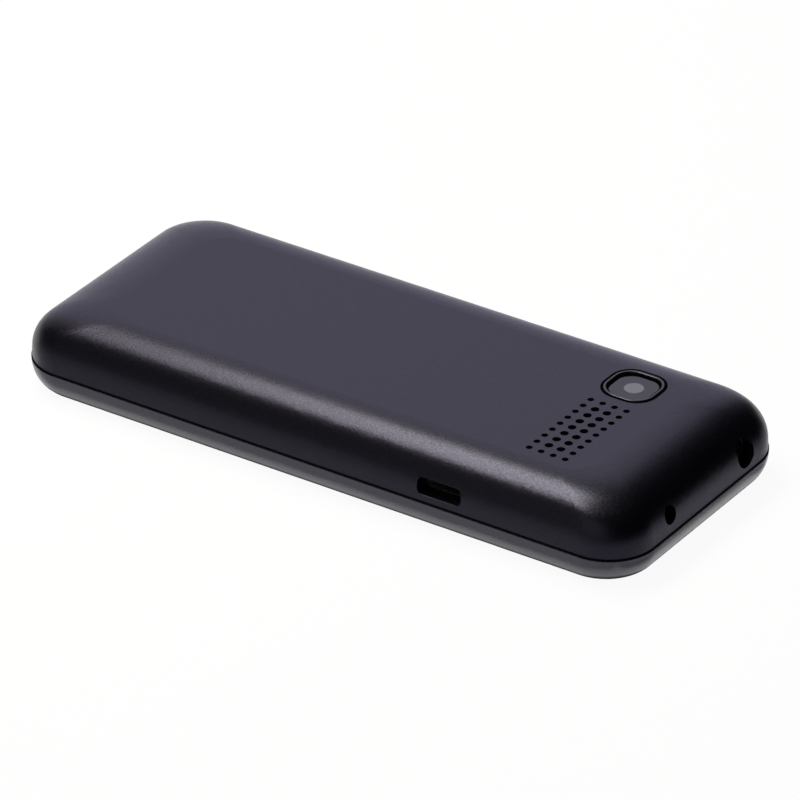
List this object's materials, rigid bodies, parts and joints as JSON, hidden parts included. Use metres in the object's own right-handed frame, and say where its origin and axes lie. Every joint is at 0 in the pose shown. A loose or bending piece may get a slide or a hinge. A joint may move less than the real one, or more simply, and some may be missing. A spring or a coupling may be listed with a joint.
{
  "type": "mobile phone",
  "caption": "Bar feature phone, face down: rounded back shell, camera window, speaker grid, micro-USB opening in the long side, audio jack and torch in the top end, keypad and display below.",
  "frame": {"origin": "under the middle of the phone, on the plane its front face rests on", "axes": "+Z out of the back shell, +Y towards the end with the audio jack, +X towards the side with the charging socket"},
  "size_m": [0.0462, 0.112, 0.0135],
  "materials": {
    "back_shell": "fine-grained satin, dark cool grey",
    "front_frame": "smooth satin, near black",
    "camera_pane": "smoked pane with a clear disc in its middle",
    "screen_mesh": "black woven dust screen",
    "inner_plastic": "moulded black",
    "circuit_board": "green solder mask",
    "tinned_steel": "tinned, dull",
    "socket_metal": "nickel plated",
    "clear_lens": "clear moulded lens",
    "module_black": "black",
    "foam": "closed-cell foam",
    "heavy_metal": "sintered",
    "battery_wrap": "plain dark wrap",
    "copper_foil": "bare foil",
    "screw_steel": "blackened",
    "display_glass": "polished, black border",
    "lcd_panel": "dark panel, switched off",
    "key_cap": "soft gloss, printed digits",
    "nav_finish": "satin ring",
    "silicone": "translucent grey",
    "dome_steel": "sprung steel under film"
  },
  "bodies": {
    "phone": {"front_housing": "front_frame", "rear_chassis": "inner_plastic", "main_board": "circuit_board", "main_shield_can": "tinned_steel", "radio_shield_can": "tinned_steel", "sim_holder": "tinned_steel", "microsd_holder": "tinned_steel", "usb_receptacle": "socket_metal", "usb_tongue": "inner_plastic", "audio_jack": "inner_plastic", "torch_led": "clear_lens", "camera_module": "module_black", "loudspeaker": "module_black", "speaker_gasket": "foam", "vibration_motor": "tinned_steel", "battery": "battery_wrap", "battery_contacts": "inner_plastic", "antenna_carrier": "inner_plastic", "antenna": "copper_foil", "housing_screws": "screw_steel", "display_lens": "display_glass", "lcd_gasket": "foam", "lcd_module": "lcd_panel", "lcd_holder": "inner_plastic", "earpiece_mesh": "screen_mesh", "earpiece": "module_black", "microphone": "tinned_steel", "microphone_boot": "silicone", "keypad_web": "silicone", "key_domes": "dome_steel"},
    "back_cover": {"rear_cover": "back_shell", "camera_trim": "back_shell", "camera_window": "camera_pane", "speaker_mesh": "screen_mesh"},
    "soft_key_left": {"soft_key_left": "key_cap"},
    "soft_key_right": {"soft_key_right": "key_cap"},
    "call_key": {"call_key": "key_cap"},
    "end_key": {"end_key": "key_cap"},
    "key_1": {"key_1": "key_cap"},
    "key_2": {"key_2": "key_cap"},
    "key_3": {"key_3": "key_cap"},
    "key_4": {"key_4": "key_cap"},
    "key_5": {"key_5": "key_cap"},
    "key_6": {"key_6": "key_cap"},
    "key_7": {"key_7": "key_cap"},
    "key_8": {"key_8": "key_cap"},
    "key_9": {"key_9": "key_cap"},
    "key_star": {"key_star": "key_cap"},
    "key_0": {"key_0": "key_cap"},
    "key_hash": {"key_hash": "key_cap"},
    "ok_key": {"ok_key": "key_cap"},
    "nav_pivot": {"nav_pivot": "silicone"},
    "nav_ring": {"nav_ring": "nav_finish"},
    "motor_weight": {"motor_weight": "heavy_metal"}
  },
  "joints": [
    {"name": "soft_key_left_press", "type": "slide", "parent": "phone", "child": "soft_key_left", "axis": [0, 0, 1], "range_m": [0, 0.0003], "stiffness_N_per_m": 400, "springref_m": -0.0008},
    {"name": "soft_key_right_press", "type": "slide", "parent": "phone", "child": "soft_key_right", "axis": [0, 0, 1], "range_m": [0, 0.0003], "stiffness_N_per_m": 400, "springref_m": -0.0008},
    {"name": "call_key_press", "type": "slide", "parent": "phone", "child": "call_key", "axis": [0, 0, 1], "range_m": [0, 0.0003], "stiffness_N_per_m": 400, "springref_m": -0.0008},
    {"name": "end_key_press", "type": "slide", "parent": "phone", "child": "end_key", "axis": [0, 0, 1], "range_m": [0, 0.0003], "stiffness_N_per_m": 400, "springref_m": -0.0008},
    {"name": "key_1_press", "type": "slide", "parent": "phone", "child": "key_1", "axis": [0, 0, 1], "range_m": [0, 0.0003], "stiffness_N_per_m": 400, "springref_m": -0.0008},
    {"name": "key_2_press", "type": "slide", "parent": "phone", "child": "key_2", "axis": [0, 0, 1], "range_m": [0, 0.0003], "stiffness_N_per_m": 400, "springref_m": -0.0008},
    {"name": "key_3_press", "type": "slide", "parent": "phone", "child": "key_3", "axis": [0, 0, 1], "range_m": [0, 0.0003], "stiffness_N_per_m": 400, "springref_m": -0.0008},
    {"name": "key_4_press", "type": "slide", "parent": "phone", "child": "key_4", "axis": [0, 0, 1], "range_m": [0, 0.0003], "stiffness_N_per_m": 400, "springref_m": -0.0008},
    {"name": "key_5_press", "type": "slide", "parent": "phone", "child": "key_5", "axis": [0, 0, 1], "range_m": [0, 0.0003], "stiffness_N_per_m": 400, "springref_m": -0.0008},
    {"name": "key_6_press", "type": "slide", "parent": "phone", "child": "key_6", "axis": [0, 0, 1], "range_m": [0, 0.0003], "stiffness_N_per_m": 400, "springref_m": -0.0008},
    {"name": "key_7_press", "type": "slide", "parent": "phone", "child": "key_7", "axis": [0, 0, 1], "range_m": [0, 0.0003], "stiffness_N_per_m": 400, "springref_m": -0.0008},
    {"name": "key_8_press", "type": "slide", "parent": "phone", "child": "key_8", "axis": [0, 0, 1], "range_m": [0, 0.0003], "stiffness_N_per_m": 400, "springref_m": -0.0008},
    {"name": "key_9_press", "type": "slide", "parent": "phone", "child": "key_9", "axis": [0, 0, 1], "range_m": [0, 0.0003], "stiffness_N_per_m": 400, "springref_m": -0.0008},
    {"name": "key_star_press", "type": "slide", "parent": "phone", "child": "key_star", "axis": [0, 0, 1], "range_m": [0, 0.0003], "stiffness_N_per_m": 400, "springref_m": -0.0008},
    {"name": "key_0_press", "type": "slide", "parent": "phone", "child": "key_0", "axis": [0, 0, 1], "range_m": [0, 0.0003], "stiffness_N_per_m": 400, "springref_m": -0.0008},
    {"name": "key_hash_press", "type": "slide", "parent": "phone", "child": "key_hash", "axis": [0, 0, 1], "range_m": [0, 0.0003], "stiffness_N_per_m": 400, "springref_m": -0.0008},
    {"name": "ok_key_press", "type": "slide", "parent": "phone", "child": "ok_key", "axis": [0, 0, 1], "range_m": [0, 0.0003], "stiffness_N_per_m": 400, "springref_m": -0.0008},
    {"name": "nav_left_right", "type": "hinge", "parent": "phone", "child": "nav_pivot", "pos_m": [0, -0.0065, 0.002], "axis": [0, 1, 0], "range_deg": [-1.8, 1.8], "stiffness_Nm_per_rad": 0.05},
    {"name": "nav_up_down", "type": "hinge", "parent": "nav_pivot", "child": "nav_ring", "pos_m": [0, -0.0065, 0.002], "axis": [1, 0, 0], "range_deg": [-1.8, 1.8], "stiffness_Nm_per_rad": 0.05},
    {"name": "back_cover_lift", "type": "slide", "parent": "phone", "child": "back_cover", "axis": [0, 0, 1], "range_m": [0, 0.03]},
    {"name": "motor_spin", "type": "hinge", "parent": "phone", "child": "motor_weight", "pos_m": [-0.0155, 0.0235, 0.00955], "axis": [1, 0, 0], "continuous": true}
  ]
}
